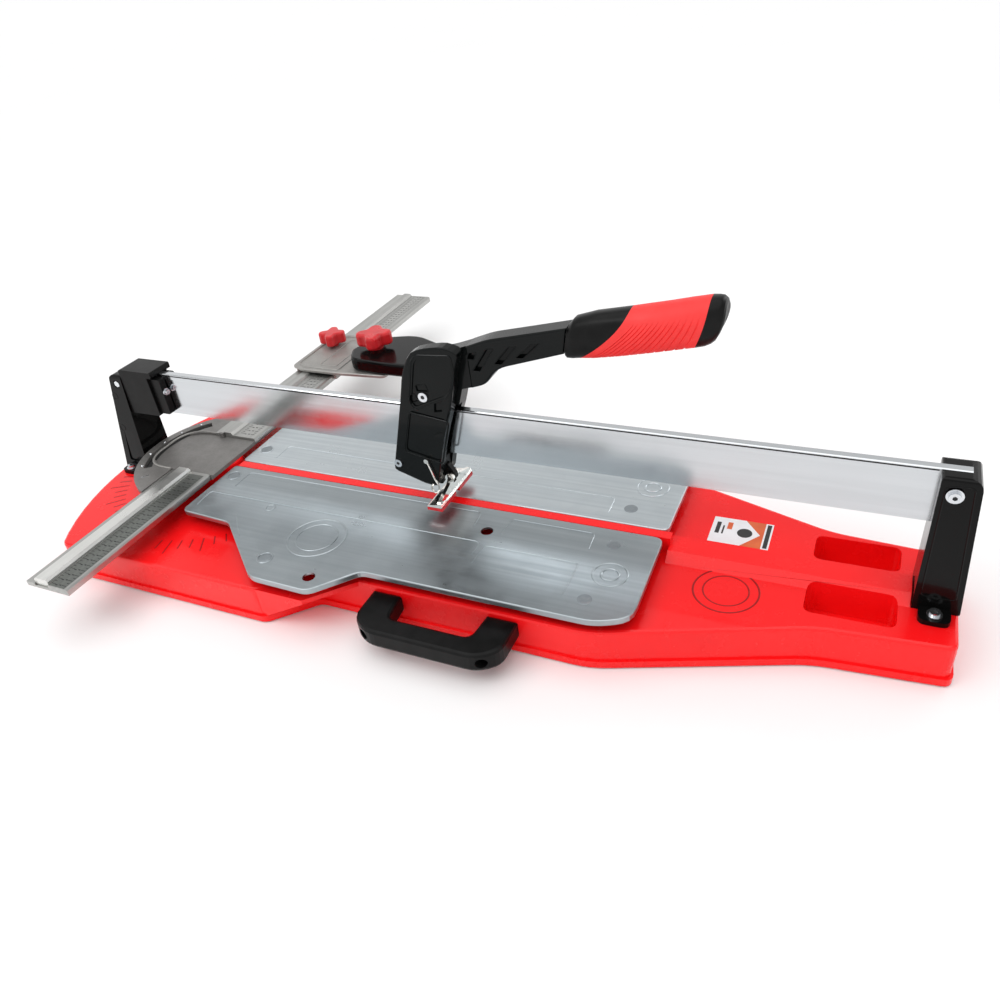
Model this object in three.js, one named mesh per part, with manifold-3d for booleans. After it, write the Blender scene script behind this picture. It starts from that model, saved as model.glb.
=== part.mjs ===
// Manual tile cutter: single guide rail, sliding scoring head, sprung tables and swinging ruler.
// Working axes in mm: +X along the cut, +Y to the rear, +Z up, cut line at Y = 0, floor at Z = 0.
import * as THREE from 'three';
import { ConvexGeometry } from 'three/addons/geometries/ConvexGeometry.js';
import { mergeVertices } from 'three/addons/utils/BufferGeometryUtils.js';
import Module from 'manifold-3d';

const wasm = await Module();
wasm.setup();

// ---------------------------------------------------------------- driving dimensions
const GAP = 0.3; // clearance left between neighbouring pieces
const ROUND = 20; // facets round a small cylinder
const EDGE_SHARE = 0.45; // longest part of an edge that a rounded corner may take

// Overall box, used to centre the finished group over its footprint.
const LEFT_END = -130;
const RIGHT_END = 1045;
const RULER_FRONT_END = -315;
const RULER_REAR_END = 630;

// Base casting.
const BASE_BOTTOM = 2;
const BASE_TOP = 53.5;
const LIP_TOP = 11;
const LIP_STEP = 2.5; // how far the wall stands back from the lip
const WALL = 6;
const SKIN = 5;
const REAR_HALF = 167;
const FRONT_HALF = 167;
const APRON = 218.5; // front reach of the left apron
const FAN_CENTRE = 258;
const FAN_RADIUS = FAN_CENTRE - LEFT_END;
const RIB_TOP = 64;
const SEAM_TOP = 74.3; // breaking bar between the tables, just under their tops
const SEAM_HALF = 6.5;

// Tables.
const TABLE_TOP = 75;
const TABLE_SHEET = 3;
const TABLE_HEM = 8;
const TABLE_LEFT = 84;
const TABLE_RIGHT = 730;
const TABLE_SEAM = 7.5; // half the slot between the tables
const TABLE_REAR = 160;
const TABLE_FRONT = -168;

// Guide rail.
const RAIL_LOW = 151;
const RAIL_HIGH = 215;
const RAIL_HALF = 4;
const RAIL_HEAD_HALF = 5;
const RAIL_LEFT = -60;
const RAIL_RIGHT = 1024.5;

// Ruler and protractor.
const SWING_X = 50; // swing centre of the protractor
const DISC_RADIUS = 124;
const SPIGOT_RADIUS = 9; // pin on the base that the protractor turns on
const SPIGOT_TOP = 79.5;
const DISC_LOW = 76.4;
const DISC_HIGH = 84.5;
const RULER_HIGH = 85.5;
const RULER_RIGHT = 76;

// Head and lever: the whole head swings on the slider's pin.
const PIVOT = [442, 239];
const PIVOT_PIN_RADIUS = 5;
const HEAD_INNER = 10.8; // half width between the two covers
const HEAD_OUTER = 26;
const COVER_WALL = 4;
const CORE_HALF = 10.4; // half width of what sits between the covers
const SLIDER_HALF = 10.3;
const FOOT_PIN = [449.5, 114];
const WHEEL = [428, 109];
const SMALL_PIN_RADIUS = 2.5; // wheel axle and foot pin
const WHEEL_RADIUS = 11;
const HUB_RADIUS = 8.5; // flat middle of the wheel, inside its bevelled edge
const WHEEL_HALF = 1.6; // half the wheel's thickness at its hub

// ---------------------------------------------------------------- materials
const material = (color, roughness, metalness) =>
  new THREE.MeshStandardMaterial({ color, roughness, metalness });

const red = material(0xd81e1e, 0.28, 0.0);
const black = material(0x17181a, 0.38, 0.0);
const softBlack = material(0x1d1e20, 0.65, 0.0);
const gripRed = material(0xf0302c, 0.6, 0.0);
const knobRed = material(0xd22222, 0.4, 0.0);
const galvanised = material(0xaeb6ba, 0.35, 0.9);
const railSteel = material(0xd4d8dc, 0.12, 1.0);
const zinc = material(0xc9ccd0, 0.3, 0.95);
const chrome = material(0xdfe1e4, 0.1, 1.0);
const castGrey = material(0x7c7975, 0.55, 0.7);
const aluminium = material(0xb6b8b4, 0.4, 0.85);
const rubber = material(0x1a1a1a, 0.9, 0.0);

// ---------------------------------------------------------------- shape helpers
// Outline from [x, y] or [x, y, corner size] points. A curve of that size rounds each corner, and it
// never uses more than most of half an edge.
function outline(points, size = 0) {
  const corner = points.map(([x, y, r]) => ({ at: new THREE.Vector2(x, y), wanted: r ?? size }));
  const shape = new THREE.Shape();
  corner.forEach(({ at, wanted }, i) => {
    const toBefore = corner[(i + corner.length - 1) % corner.length].at.clone().sub(at);
    const toAfter = corner[(i + 1) % corner.length].at.clone().sub(at);
    const r = Math.min(wanted, EDGE_SHARE * toBefore.length(), EDGE_SHARE * toAfter.length());
    const start = at.clone().addScaledVector(toBefore.normalize(), r);
    const end = at.clone().addScaledVector(toAfter.normalize(), r);
    if (i === 0) shape.moveTo(start.x, start.y);
    else shape.lineTo(start.x, start.y);
    if (r > 0) shape.quadraticCurveTo(at.x, at.y, end.x, end.y);
  });
  shape.closePath();
  return shape;
}

// The same corners moved in by a distance, whichever way round the outline runs.
function insetPoints(points, distance) {
  const at = points.map(([x, y]) => new THREE.Vector2(x, y));
  const turn = Math.sign(THREE.ShapeUtils.area(at));
  const normal = (a, b) => {
    const side = b.clone().sub(a).normalize();
    return new THREE.Vector2(-side.y * turn, side.x * turn);
  };
  return points.map(([x, y, r], i) => {
    const before = normal(at[(i + at.length - 1) % at.length], at[i]);
    const after = normal(at[i], at[(i + 1) % at.length]);
    const reach = distance / (1 + before.dot(after));
    return [x + (before.x + after.x) * reach, y + (before.y + after.y) * reach, r];
  });
}

function rectangle(x0, x1, y0, y1, radius = 0) {
  return outline([[x0, y0], [x1, y0], [x1, y1], [x0, y1]], radius);
}

function circle(x, y, radius) {
  const shape = new THREE.Shape();
  shape.absarc(x, y, radius, 0, 2 * Math.PI);
  return shape;
}

// Extrudes along the shape's own normal from low to high, with rounded rims where bevel is given.
function prism(shape, low, high, { bevel = 0, segments = 2, curve = 4 } = {}) {
  const geometry = new THREE.ExtrudeGeometry(shape, {
    depth: high - low - 2 * bevel,
    bevelEnabled: bevel > 0,
    bevelThickness: bevel,
    bevelSize: bevel,
    bevelOffset: -bevel,
    bevelSegments: segments,
    curveSegments: curve,
  });
  geometry.translate(0, 0, low + bevel);
  return geometry;
}

// Turns a prism's drawing plane: 'z' keeps XY, 'y' reads it as XZ, 'x' reads it as YZ.
function solid(geometry, along = 'z') {
  if (along === 'y') geometry.rotateX(Math.PI / 2).scale(1, -1, 1);
  if (along === 'x') {
    geometry.applyMatrix4(new THREE.Matrix4().set(0, 0, 1, 0, 1, 0, 0, 0, 0, 1, 0, 0, 0, 0, 0, 1));
  }
  const bare = new THREE.BufferGeometry();
  bare.setAttribute('position', geometry.getAttribute('position'));
  if (geometry.index) bare.setIndex(geometry.index);
  const merged = mergeVertices(bare, 1e-4);
  const triVerts = new Uint32Array(merged.index.array);
  if (along === 'y') triVerts.reverse();
  const vertProperties = new Float32Array(merged.attributes.position.array);
  return new wasm.Manifold(new wasm.Mesh({ numProp: 3, vertProperties, triVerts }));
}

const slab = (shape, low, high, along = 'z', options = {}) => solid(prism(shape, low, high, options), along);

function block(x0, x1, y0, y1, z0, z1) {
  const geometry = new THREE.BoxGeometry(x1 - x0, y1 - y0, z1 - z0);
  geometry.translate((x0 + x1) / 2, (y0 + y1) / 2, (z0 + z1) / 2);
  return solid(geometry);
}

// Round bar of the given radius along an axis; (a, b) is its centre in the other two axes.
function bar(axis, radius, low, high, a, b, facets = ROUND, endRadius = radius) {
  const geometry = new THREE.CylinderGeometry(endRadius, radius, high - low, facets);
  const middle = (low + high) / 2;
  if (axis === 'x') geometry.rotateZ(-Math.PI / 2).translate(middle, a, b);
  if (axis === 'y') geometry.translate(a, middle, b);
  if (axis === 'z') geometry.rotateX(Math.PI / 2).translate(a, b, middle);
  return solid(geometry);
}

const union = (first, ...others) => others.reduce((sum, other) => sum.add(other), first);
const cut = (first, ...others) => others.reduce((rest, other) => rest.subtract(other), first);
const mirrored = (piece) => piece.mirror([0, 1, 0]);

// ---------------------------------------------------------------- group
const cutter = new THREE.Group();
cutter.name = 'tile_cutter';

function addPart(name, piece, partMaterial) {
  const { vertProperties, triVerts } = piece.getMesh();
  const geometry = new THREE.BufferGeometry();
  geometry.setAttribute('position', new THREE.BufferAttribute(new Float32Array(vertProperties), 3));
  geometry.setIndex(new THREE.BufferAttribute(new Uint32Array(triVerts), 1));
  geometry.translate(-(LEFT_END + RIGHT_END) / 2, -(RULER_FRONT_END + RULER_REAR_END) / 2, 0);
  const flat = geometry.toNonIndexed();
  flat.computeVertexNormals();
  const mesh = new THREE.Mesh(flat, partMaterial);
  mesh.name = name;
  cutter.add(mesh);
}

// ---------------------------------------------------------------- base
// Footprint: narrow at the right, slanting out to the tables, a fan-shaped left end and a front apron.
function baseCorners() {
  const rearStart = Math.PI - Math.asin(REAR_HALF / FAN_RADIUS);
  const frontStop = Math.PI + Math.asin(APRON / FAN_RADIUS);
  const steps = 14;
  const fan = [];
  for (let i = 0; i <= steps; i += 1) {
    const angle = rearStart + ((frontStop - rearStart) * i) / steps;
    fan.push([FAN_CENTRE + FAN_RADIUS * Math.cos(angle), FAN_RADIUS * Math.sin(angle), i % steps ? 0 : 9]);
  }
  return [
    [RIGHT_END, -79, 10], [RIGHT_END, 79, 10], [909, 89, 20], [687, REAR_HALF, 20], ...fan,
    [277, -APRON, 8], [328, -FRONT_HALF, 6], [687, -FRONT_HALF, 20], [909, -89, 20],
  ];
}

// The apron's right flank leans outwards, so the rim above follows the front table.
function apronFlank() {
  const rimTop = BASE_TOP - 0.6;
  const rimLow = BASE_TOP - 7;
  const front = -APRON + LIP_STEP + 1;
  const recess = -FRONT_HALF + LIP_STEP + 4;
  const points = [
    [255, front, LIP_TOP - 2], [276, front, LIP_TOP - 2], [324, recess, LIP_TOP - 2],
    [255, front, rimTop], [343, front, rimTop], [343, front, rimLow],
    [396, recess, rimTop], [396, recess, rimLow], [300, recess, rimTop], [300, recess, LIP_TOP - 2],
  ];
  return solid(new ConvexGeometry(points.map(([x, y, z]) => new THREE.Vector3(x, y, z))));
}

const HAND_POCKETS = [[-64, -19.5], [29, 74]]; // front and rear edges in Y
const POCKET_X = [893, 985];
const POCKET_FLOOR = 18;
const FEET = [[1012, -48], [1012, 48], [20, -180], [20, 125]];
const BOSS_RADIUS = 15;
const FOOT_HEIGHT = 7;

function baseShell() {
  const corners = baseCorners();
  const lip = slab(outline(corners), BASE_BOTTOM, LIP_TOP);
  const wallLine = outline(insetPoints(corners, LIP_STEP));
  const body = slab(wallLine, LIP_TOP - 4, BASE_TOP, 'z', { bevel: 3.5 });
  const innerLine = outline(insetPoints(corners, WALL + LIP_STEP));
  const inside = slab(innerLine, BASE_BOTTOM - 1, BASE_TOP - SKIN);
  let base = cut(union(lip, body), inside);

  const rib = slab(outline([[-28, BASE_TOP - 1], [28, BASE_TOP - 1], [15, RIB_TOP], [-15, RIB_TOP]]),
    TABLE_RIGHT + 5, 996, 'x');
  const seam = block(TABLE_LEFT + 4, TABLE_RIGHT + 6, -SEAM_HALF, SEAM_HALF, BASE_TOP - 1, SEAM_TOP);
  const turntable = bar('z', 32, BASE_TOP - 1, DISC_LOW - GAP, SWING_X, 0, 32);
  const spigot = bar('z', SPIGOT_RADIUS, DISC_LOW - 2, SPIGOT_TOP, SWING_X, 0);
  base = union(base, rib, seam, turntable, spigot, apronFlank());

  for (const [front, rear] of HAND_POCKETS) {
    const wallBox = rectangle(POCKET_X[0] - 4, POCKET_X[1] + 4, front - 4, rear + 4, 12);
    const pocket = rectangle(POCKET_X[0], POCKET_X[1], front, rear, 10);
    base = base.add(slab(wallBox, POCKET_FLOOR - 4, BASE_TOP - 2));
    base = base.subtract(slab(pocket, POCKET_FLOOR, RIB_TOP));
  }
  for (const [x, y] of FEET) {
    base = base.add(bar('z', BOSS_RADIUS, FOOT_HEIGHT + GAP, BASE_TOP - 2, x, y));
  }
  return base;
}

function addBase() {
  addPart('base_shell', baseShell(), red);
  FEET.forEach(([x, y], i) => {
    addPart(`rubber_foot_${i + 1}`, bar('z', 12, 0, FOOT_HEIGHT, x, y, ROUND, 13), rubber);
  });
}

// ---------------------------------------------------------------- towers and rail
const TOWER_TOP = 214;
const LEFT_TOWER_TOP = 212;

// Both towers taper towards the top, seen along the rail.
function towerTaper(top, halfTop) {
  return outline([
    [-27, BASE_TOP + GAP, 0], [27, BASE_TOP + GAP, 0], [halfTop, top, 5], [-halfTop, top, 5],
  ]);
}

const RIGHT_TOWER = [
  [997, BASE_TOP + GAP, 0], [1043, BASE_TOP + GAP, 3], [1034, TOWER_TOP, 10], [998, TOWER_TOP, 4],
];

function rightTower() {
  const side = slab(outline(RIGHT_TOWER), -45, 45, 'y');
  let tower = side.intersect(slab(towerTaper(TOWER_TOP, 21), 990, 1046, 'x'));
  for (const [front, rear] of [[-50, -24], [24, 50]]) {
    tower = tower.add(slab(rectangle(1003, 1034, front, rear, 9), BASE_TOP + GAP, BASE_TOP + 6));
  }
  const slot = RAIL_HEAD_HALF + GAP;
  return tower.subtract(block(990, RAIL_RIGHT + GAP, -slot, slot, RAIL_LOW - GAP, TOWER_TOP + 5));
}

const leftTowerInner = (z) => -80 + (10 * (z - BASE_TOP)) / (LEFT_TOWER_TOP - BASE_TOP);

function leftTower() {
  const side = slab(outline([
    [-126, BASE_TOP + GAP, 2], [leftTowerInner(BASE_TOP), BASE_TOP + GAP, 0],
    [leftTowerInner(LEFT_TOWER_TOP), LEFT_TOWER_TOP, 3], [-92, LEFT_TOWER_TOP, 7],
  ]), -45, 45, 'y');
  const tower = side.intersect(slab(towerTaper(LEFT_TOWER_TOP, 21), LEFT_END, -60, 'x'));
  const boltHole = bar('y', 6, -30, -16, -82, 198);
  const panel = slab(outline([
    [-113, 66, 4], [-90, 66, 4], [-81, 184, 4], [-91, 184, 4],
  ]), -30, -24.5, 'y');
  const footPad = slab(rectangle(-116, -88, -46, -20, 8), BASE_TOP + GAP, BASE_TOP + 6);
  return union(cut(tower, boltHole, panel), footPad);
}

// Closed block that grips the rail's left end, with a narrower nose and a ledge over it.
const CLAMP_SHOULDER = -18;
const CLAMP_NOSE = 0;

function guideClamp() {
  const inner = (z) => leftTowerInner(z) + 0.4;
  const profile = outline([
    [inner(152), 152, 0], [CLAMP_SHOULDER, 152, 3], [CLAMP_SHOULDER, 213, 0], [CLAMP_SHOULDER + 9, 213, 2],
    [CLAMP_SHOULDER + 9, 222, 2], [inner(LEFT_TOWER_TOP), 222, 3],
    [inner(LEFT_TOWER_TOP), LEFT_TOWER_TOP, 0],
  ]);
  const body = slab(profile, -20, 20, 'y');
  const nose = slab(outline([
    [CLAMP_SHOULDER - 2, 155, 0], [CLAMP_NOSE, 155, 3], [CLAMP_NOSE, 210, 3], [CLAMP_SHOULDER - 2, 210, 0],
  ]), -16, 16, 'y');
  const slot = RAIL_HEAD_HALF + GAP;
  return union(body, nose).subtract(block(RAIL_LEFT - GAP, 20, -slot, slot, 140, RAIL_HIGH + GAP));
}

function guideRail() {
  const half = [[RAIL_HALF, RAIL_LOW], [RAIL_HALF, RAIL_HIGH - 8], [RAIL_HEAD_HALF, RAIL_HIGH - 8],
    [RAIL_HEAD_HALF, RAIL_HIGH - 1], [RAIL_HEAD_HALF - 1, RAIL_HIGH]];
  const other = half.map(([y, z]) => [-y, z]).reverse();
  return slab(outline([...half, ...other]), RAIL_LEFT, RAIL_RIGHT, 'x');
}

const WASHER_HEIGHT = 1.8;
const SCREW_HEIGHT = 5.5;

// Pan-head screw with washer lying on a face; direction is -1 or +1 along the axis.
function panScrew(axis, face, direction, a, b, size) {
  const disc = (radius, from, to, facets) => {
    const [low, high] = [face + direction * from, face + direction * to].sort((p, q) => p - q);
    return bar(axis, radius, low, high, a, b, facets);
  };
  const washer = disc(size * 1.45, GAP, WASHER_HEIGHT);
  const head = disc(size, WASHER_HEIGHT - GAP, SCREW_HEIGHT);
  const socket = disc(size * 0.45, SCREW_HEIGHT - 2, SCREW_HEIGHT + 1, 6);
  return cut(union(washer, head), socket);
}

function addTowers() {
  addPart('right_tower', rightTower(), black);
  addPart('left_tower', leftTower(), black);
  addPart('guide_rail', guideRail(), railSteel);
  addPart('guide_clamp', guideClamp(), softBlack);
  addPart('right_foot_screw', panScrew('z', BASE_TOP + 6, 1, 1018.5, -39, 5.4), zinc);
  addPart('right_foot_screw_rear', panScrew('z', BASE_TOP + 6, 1, 1018.5, 39, 5.4), zinc);
  addPart('left_foot_screw', panScrew('z', BASE_TOP + 6, 1, -102, -37, 5.5), zinc);
  addPart('right_top_screw', panScrew('y', -22.6, -1, 1012, 197, 5.6), zinc);
  addPart('left_top_bolt', bar('y', 5, -21, -16 - GAP, -82, 198, 6), zinc);
  addPart('clamp_screw', panScrew('x', CLAMP_NOSE, 1, -10.7, 190, 3.5), zinc);
}

// ---------------------------------------------------------------- carry handle
const HANDLE_LOW = 22;
const HANDLE_HIGH = 47;
const HANDLE_MIDDLE = 34; // height of its screws
const HANDLE_SEAT = -188; // floor of the screw holes
const HANDLE_LEGS = [433, 584];
const HANDLE_BACK = -FRONT_HALF + LIP_STEP - GAP;

function addHandle() {
  const loop = outline([
    [414, HANDLE_BACK], [414, -212, 14], [438, -230, 14], [579, -230, 14], [603, -212, 14],
    [603, HANDLE_BACK], [565, HANDLE_BACK], [561, -203, 10], [456, -203, 10], [452, HANDLE_BACK],
  ]);
  let handle = slab(loop, HANDLE_LOW, HANDLE_HIGH, 'z', { bevel: 4 });
  HANDLE_LEGS.forEach((x) => {
    handle = handle.subtract(bar('y', 6.5, -240, HANDLE_SEAT, x, HANDLE_MIDDLE));
  });
  addPart('carry_handle', handle, softBlack);
  HANDLE_LEGS.forEach((x, i) => {
    const head = bar('y', 5, HANDLE_SEAT - 4.5, HANDLE_SEAT - GAP, x, HANDLE_MIDDLE);
    const socket = bar('y', 2.4, HANDLE_SEAT - 7, HANDLE_SEAT - 2.5, x, HANDLE_MIDDLE, 6);
    addPart(`handle_screw_${i + 1}`, cut(head, socket), zinc);
  });
}

// ---------------------------------------------------------------- sprung tables
const FRONT_TABLE = [
  [TABLE_LEFT, -TABLE_SEAM, 5], [TABLE_LEFT, -125, 10], [170, -130, 8], [272, -216, 12], [358, -218, 10],
  [403, TABLE_FRONT, 8], [694, TABLE_FRONT, 16], [732, -150, 18], [TABLE_RIGHT - 1, -TABLE_SEAM, 12],
];
const REAR_TABLE = [
  [TABLE_LEFT + 2, TABLE_SEAM, 5], [TABLE_RIGHT, TABLE_SEAM, 10], [TABLE_RIGHT, TABLE_REAR, 16],
  [TABLE_LEFT + 2, TABLE_REAR, 16],
];
const PAD_SPOTS = {
  front: [[101, -32], [273, -187], [676, -40], [674, -143]],
  rear: [[104, 42], [104, 138], [675, 39], [675, 138]],
};
const RIVET_RADIUS = 9;

// Folded sheet: a flat top with a short hem all round.
function table(points, holes) {
  const sheet = slab(outline(points), TABLE_TOP - TABLE_HEM, TABLE_TOP, 'z', { bevel: 1.4, segments: 2 });
  const innerLine = outline(insetPoints(points, TABLE_SHEET));
  const under = slab(innerLine, TABLE_TOP - TABLE_HEM - 1, TABLE_TOP - TABLE_SHEET);
  return cut(sheet, under, ...holes.map(([x, y]) => bar('z', 8, 60, 80, x, y)));
}

function addTables() {
  addPart('front_table', table(FRONT_TABLE, [[518, -53], [347, -195]]), galvanised);
  addPart('rear_table', table(REAR_TABLE, []), galvanised);
  for (const [side, spots] of Object.entries(PAD_SPOTS)) {
    spots.forEach(([x, y], i) => {
      const pad = bar('z', RIVET_RADIUS, BASE_TOP + GAP, TABLE_TOP - TABLE_SHEET - GAP, x, y, 20);
      addPart(`${side}_table_spring_${i + 1}`, pad, rubber);
    });
  }
}

// ---------------------------------------------------------------- protractor and ruler
const SLOT_RADIUS = 105.5;
const SLOT_HALF = 6.5;
const DISC_FLAT = 78; // where the disc is cut off, beside the tables
const HUB_RANGE = [-52, 50]; // stretch of Y where the casting carries both rulers
const STOP_NUB = [16, 51];

function protractor() {
  const disc = bar('z', DISC_RADIUS, DISC_LOW, DISC_HIGH, SWING_X, 0, 96);
  const [from, to] = [THREE.MathUtils.degToRad(136), THREE.MathUtils.degToRad(215)];
  const arc = new THREE.Shape();
  arc.absarc(SWING_X, 0, SLOT_RADIUS + SLOT_HALF, from, to);
  arc.absarc(SWING_X, 0, SLOT_RADIUS - SLOT_HALF, to, from, true);
  const slot = slab(arc, DISC_LOW - 1, DISC_HIGH + 1, 'z', { curve: 20 });
  const hollow = outline([[-51, -50, 42], [90, -50, 0], [90, 50, 0], [-51, 50, 42]]);
  const recess = slab(hollow, DISC_HIGH - 2.5, DISC_HIGH + 1);
  const rightOff = block(DISC_FLAT, 200, -200, 200, 70, 90);
  const frontBay = block(3.4, 200, -200, HUB_RANGE[0], 70, 90);
  const rearBay = block(1.6, 200, HUB_RANGE[1], 200, 70, 90);
  const spigotBore = bar('z', SPIGOT_RADIUS + GAP, DISC_LOW - 1, SPIGOT_TOP + GAP, SWING_X, 0);
  const plate = cut(disc, slot, recess, rightOff, frontBay, rearBay);
  const nub = slab(rectangle(STOP_NUB[0] - 4, STOP_NUB[0] + 4, STOP_NUB[1] - 5, STOP_NUB[1] - GAP - 1, 1),
    DISC_LOW, DISC_HIGH + 5);
  return cut(union(plate, nub), spigotBore);
}

// Channel section in XZ for the front ruler: side flange, groove for the extension, scale band.
const FRONT_SECTION = [
  [4, DISC_LOW], [4, 83], [18.5, 83], [18.5, 80], [42.5, 80], [42.5, RULER_HIGH],
  [RULER_RIGHT - 2, RULER_HIGH], [RULER_RIGHT, RULER_HIGH - 2], [RULER_RIGHT, DISC_LOW],
];
const REAR_SECTION = [
  [2, DISC_LOW], [2, 86.5], [16, 86.5], [20, 90], [33, 90], [36, 86], [RULER_RIGHT, 86],
  [DISC_FLAT, 84], [DISC_FLAT, DISC_LOW],
];
const EXTENSION_SECTION = [[18.8, 80.3], [18.8, 88], [22, 91], [39, 91], [42.2, 88], [42.2, 80.3]];

// Ruler sections are drawn in XZ and run along Y.
const alongRuler = (section, from, to) => slab(outline(section), from, to, 'y');

function addRuler() {
  addPart('protractor', protractor(), castGrey);
  addPart('front_ruler', alongRuler(FRONT_SECTION, RULER_FRONT_END, HUB_RANGE[0] - GAP), aluminium);
  addPart('rear_ruler', alongRuler(REAR_SECTION, HUB_RANGE[1] + GAP, RULER_REAR_END), aluminium);
  addPart('ruler_extension', alongRuler(EXTENSION_SECTION, RULER_FRONT_END + 2, HUB_RANGE[0] - 1), aluminium);
}

// ---------------------------------------------------------------- side stop on the ruler
const CARRIAGE_LOW = 90.4;
const CARRIAGE_HIGH = 96;
const SMALL_KNOB = [22, 363];
const BIG_KNOB = [142, 322];

// Knob with rounded lobes.
function knob(x, y, low, high, reach, lobes, neck) {
  const points = [];
  const steps = lobes * 2;
  for (let i = 0; i < steps; i += 1) {
    const radius = i % 2 ? reach * neck : reach;
    const angle = (Math.PI * 2 * i) / steps + 0.35;
    const round = i % 2 ? reach * 0.12 : reach * 0.22;
    const half = i % 2 ? 0 : 0.27;
    for (const side of half ? [-half, half] : [0]) {
      points.push([x + radius * Math.cos(angle + side), y + radius * Math.sin(angle + side), round]);
    }
  }
  return slab(outline(points), low, high, 'z', { bevel: reach * 0.14, curve: 2 });
}

function addStop() {
  const plate = slab(outline([
    [-6, 272, 6], [20, 262, 4], [98, 262, 4], [184, 268, 10], [186, 288, 8], [140, 300, 6], [99, 330, 8],
    [99, 396, 8], [80, 408, 6], [22, 408, 8], [-6, 374, 8],
  ]), CARRIAGE_LOW, CARRIAGE_HIGH, 'z', { bevel: 1.2, segments: 1 });
  const leftSkirt = block(-6, 2 - GAP, 280, 366, 79, CARRIAGE_LOW + 2);
  const rightSkirt = block(78 + GAP, 84, 270, 394, 79, CARRIAGE_LOW + 2);
  addPart('stop_carriage', union(plate, leftSkirt, rightSkirt), castGrey);

  const stem = bar('z', 9, CARRIAGE_HIGH + GAP, 102, ...SMALL_KNOB);
  const star = knob(...SMALL_KNOB, 101, 122, 25, 4, 0.55);
  addPart('carriage_knob', union(stem, star), knobRed);

  const arm = slab(outline([
    [98, 312, 14], [118, 274, 14], [180, 268, 10], [300, 268, 8], [312, 282, 10], [262, 352, 30],
    [190, 386, 24], [128, 366, 24],
  ]), CARRIAGE_HIGH + GAP, 119, 'z', { bevel: 4 });
  addPart('swing_arm', arm, black);

  const armStem = bar('z', 13, 119 + GAP, 127, ...BIG_KNOB);
  const armStar = knob(...BIG_KNOB, 126, 149, 32, 4, 0.62);
  addPart('arm_knob', union(armStem, armStar), knobRed);
}

// ---------------------------------------------------------------- slider on the rail
function addSlider() {
  const cheekLine = outline([[397, 158, 4], [445, 158, 4], [465, 211, 4], [411, 211, 4]]);
  const cheeks = slab(cheekLine, -SLIDER_HALF, SLIDER_HALF, 'y');
  const saddle = block(423, 461, -SLIDER_HALF, SLIDER_HALF, 205, 231);
  const ear = bar('y', 12, -SLIDER_HALF, SLIDER_HALF, ...PIVOT);
  const slot = RAIL_HEAD_HALF + GAP;
  const railBay = block(380, 480, -slot, slot, 140, RAIL_HIGH + GAP);
  const pinBore = bar('y', PIVOT_PIN_RADIUS + GAP, -20, 20, ...PIVOT);
  addPart('slider_block', cut(union(cheeks, saddle, ear), railBay, pinBore), softBlack);
  addPart('pivot_pin', bar('y', PIVOT_PIN_RADIUS, -19.5, 19.5, ...PIVOT), zinc);
}

// ---------------------------------------------------------------- head covers and lever
const FRONT_COVER = [
  [379, 127, 6], [409, 232, 30], [418, 268, 10], [433, 296, 9], [452, 302, 7], [478, 306, 7], [498, 300, 7],
  [490, 279, 10], [476, 223, 20], [460, 183, 20], [441, 110, 6], [423, 112, 6],
];
const REAR_COVER = [ // ends just above the pivot
  [379, 127, 6], [409, 232, 24], [414, 252, 8], [424, 260, 10], [462, 258, 10], [476, 246, 8], [476, 223, 20],
  [460, 183, 20], [441, 110, 6], [423, 112, 6],
];
const PANEL_DEPTH = 1.6;
const POCKET_DEPTH = 3;
const UPPER_PANEL = [
  [425, 234, 6], [437, 283, 8], [444, 290, 6], [484, 293, 8], [486, 276, 5], [478, 254, 5], [470, 243, 3],
  [428, 224, 4],
];
const LOWER_PANEL = [[421, 219, 4], [470, 212, 5], [452, 150, 6], [404, 160, 5]];
const COVER_POCKETS = [
  [[424, 228, 1], [421, 238, 1], [430, 242, 2], [434, 233, 1]],
  [[433, 253, 1], [447, 256, 1], [450, 246, 1], [434, 245, 1]],
  [[456, 233, 1], [468, 236, 1], [465, 222, 1], [454, 220, 1]],
];
const LOWER_SCREW = [389, 139];

// Hollow cover drawn on the front side, with recessed panels and deeper blind pockets.
function headCover(corners, panels, pockets) {
  const recess = (shape, depth) =>
    slab(outline(shape), -HEAD_OUTER - 1, -HEAD_OUTER + depth, 'y', { curve: 2 });
  const shell = slab(outline(corners), -HEAD_OUTER, HEAD_INNER, 'y', { bevel: 2, curve: 2 });
  const innerHalf = block(300, 600, -HEAD_INNER, 50, 90, 350);
  const innerLine = outline(insetPoints(corners, COVER_WALL));
  const hollow = slab(innerLine, -HEAD_OUTER + COVER_WALL, 0, 'y', { curve: 2 });
  const panelCuts = panels.map((shape) => recess(shape, PANEL_DEPTH));
  const pocketCuts = pockets.map((shape) => recess(shape, POCKET_DEPTH));
  const boss = bar('y', 10, -HEAD_OUTER + 2, -14, ...PIVOT);
  const bore = bar('y', PIVOT_PIN_RADIUS + GAP, -20.5, 0, ...PIVOT);
  return cut(union(cut(shell, innerHalf, hollow, ...panelCuts), boss), ...pocketCuts, bore);
}

const ARM_TOP = [[501, 303], [527, 313, 10], [623.5, 334]];
const ARM_BOTTOM = [[619, 304], [538, 279, 12], [521, 257, 10], [502, 251]];

const ARM_SLOTS = [ // lower and upper end of each slanted recess
  [[506, 288], [510, 297]], [[512, 274], [532, 303]], [[540, 285], [560, 308]], [[567, 295], [588, 314]],
];
const SLOT_REACH = 4.8;
const SLOT_FLOOR = 8.5; // half width left between the recesses

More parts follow.
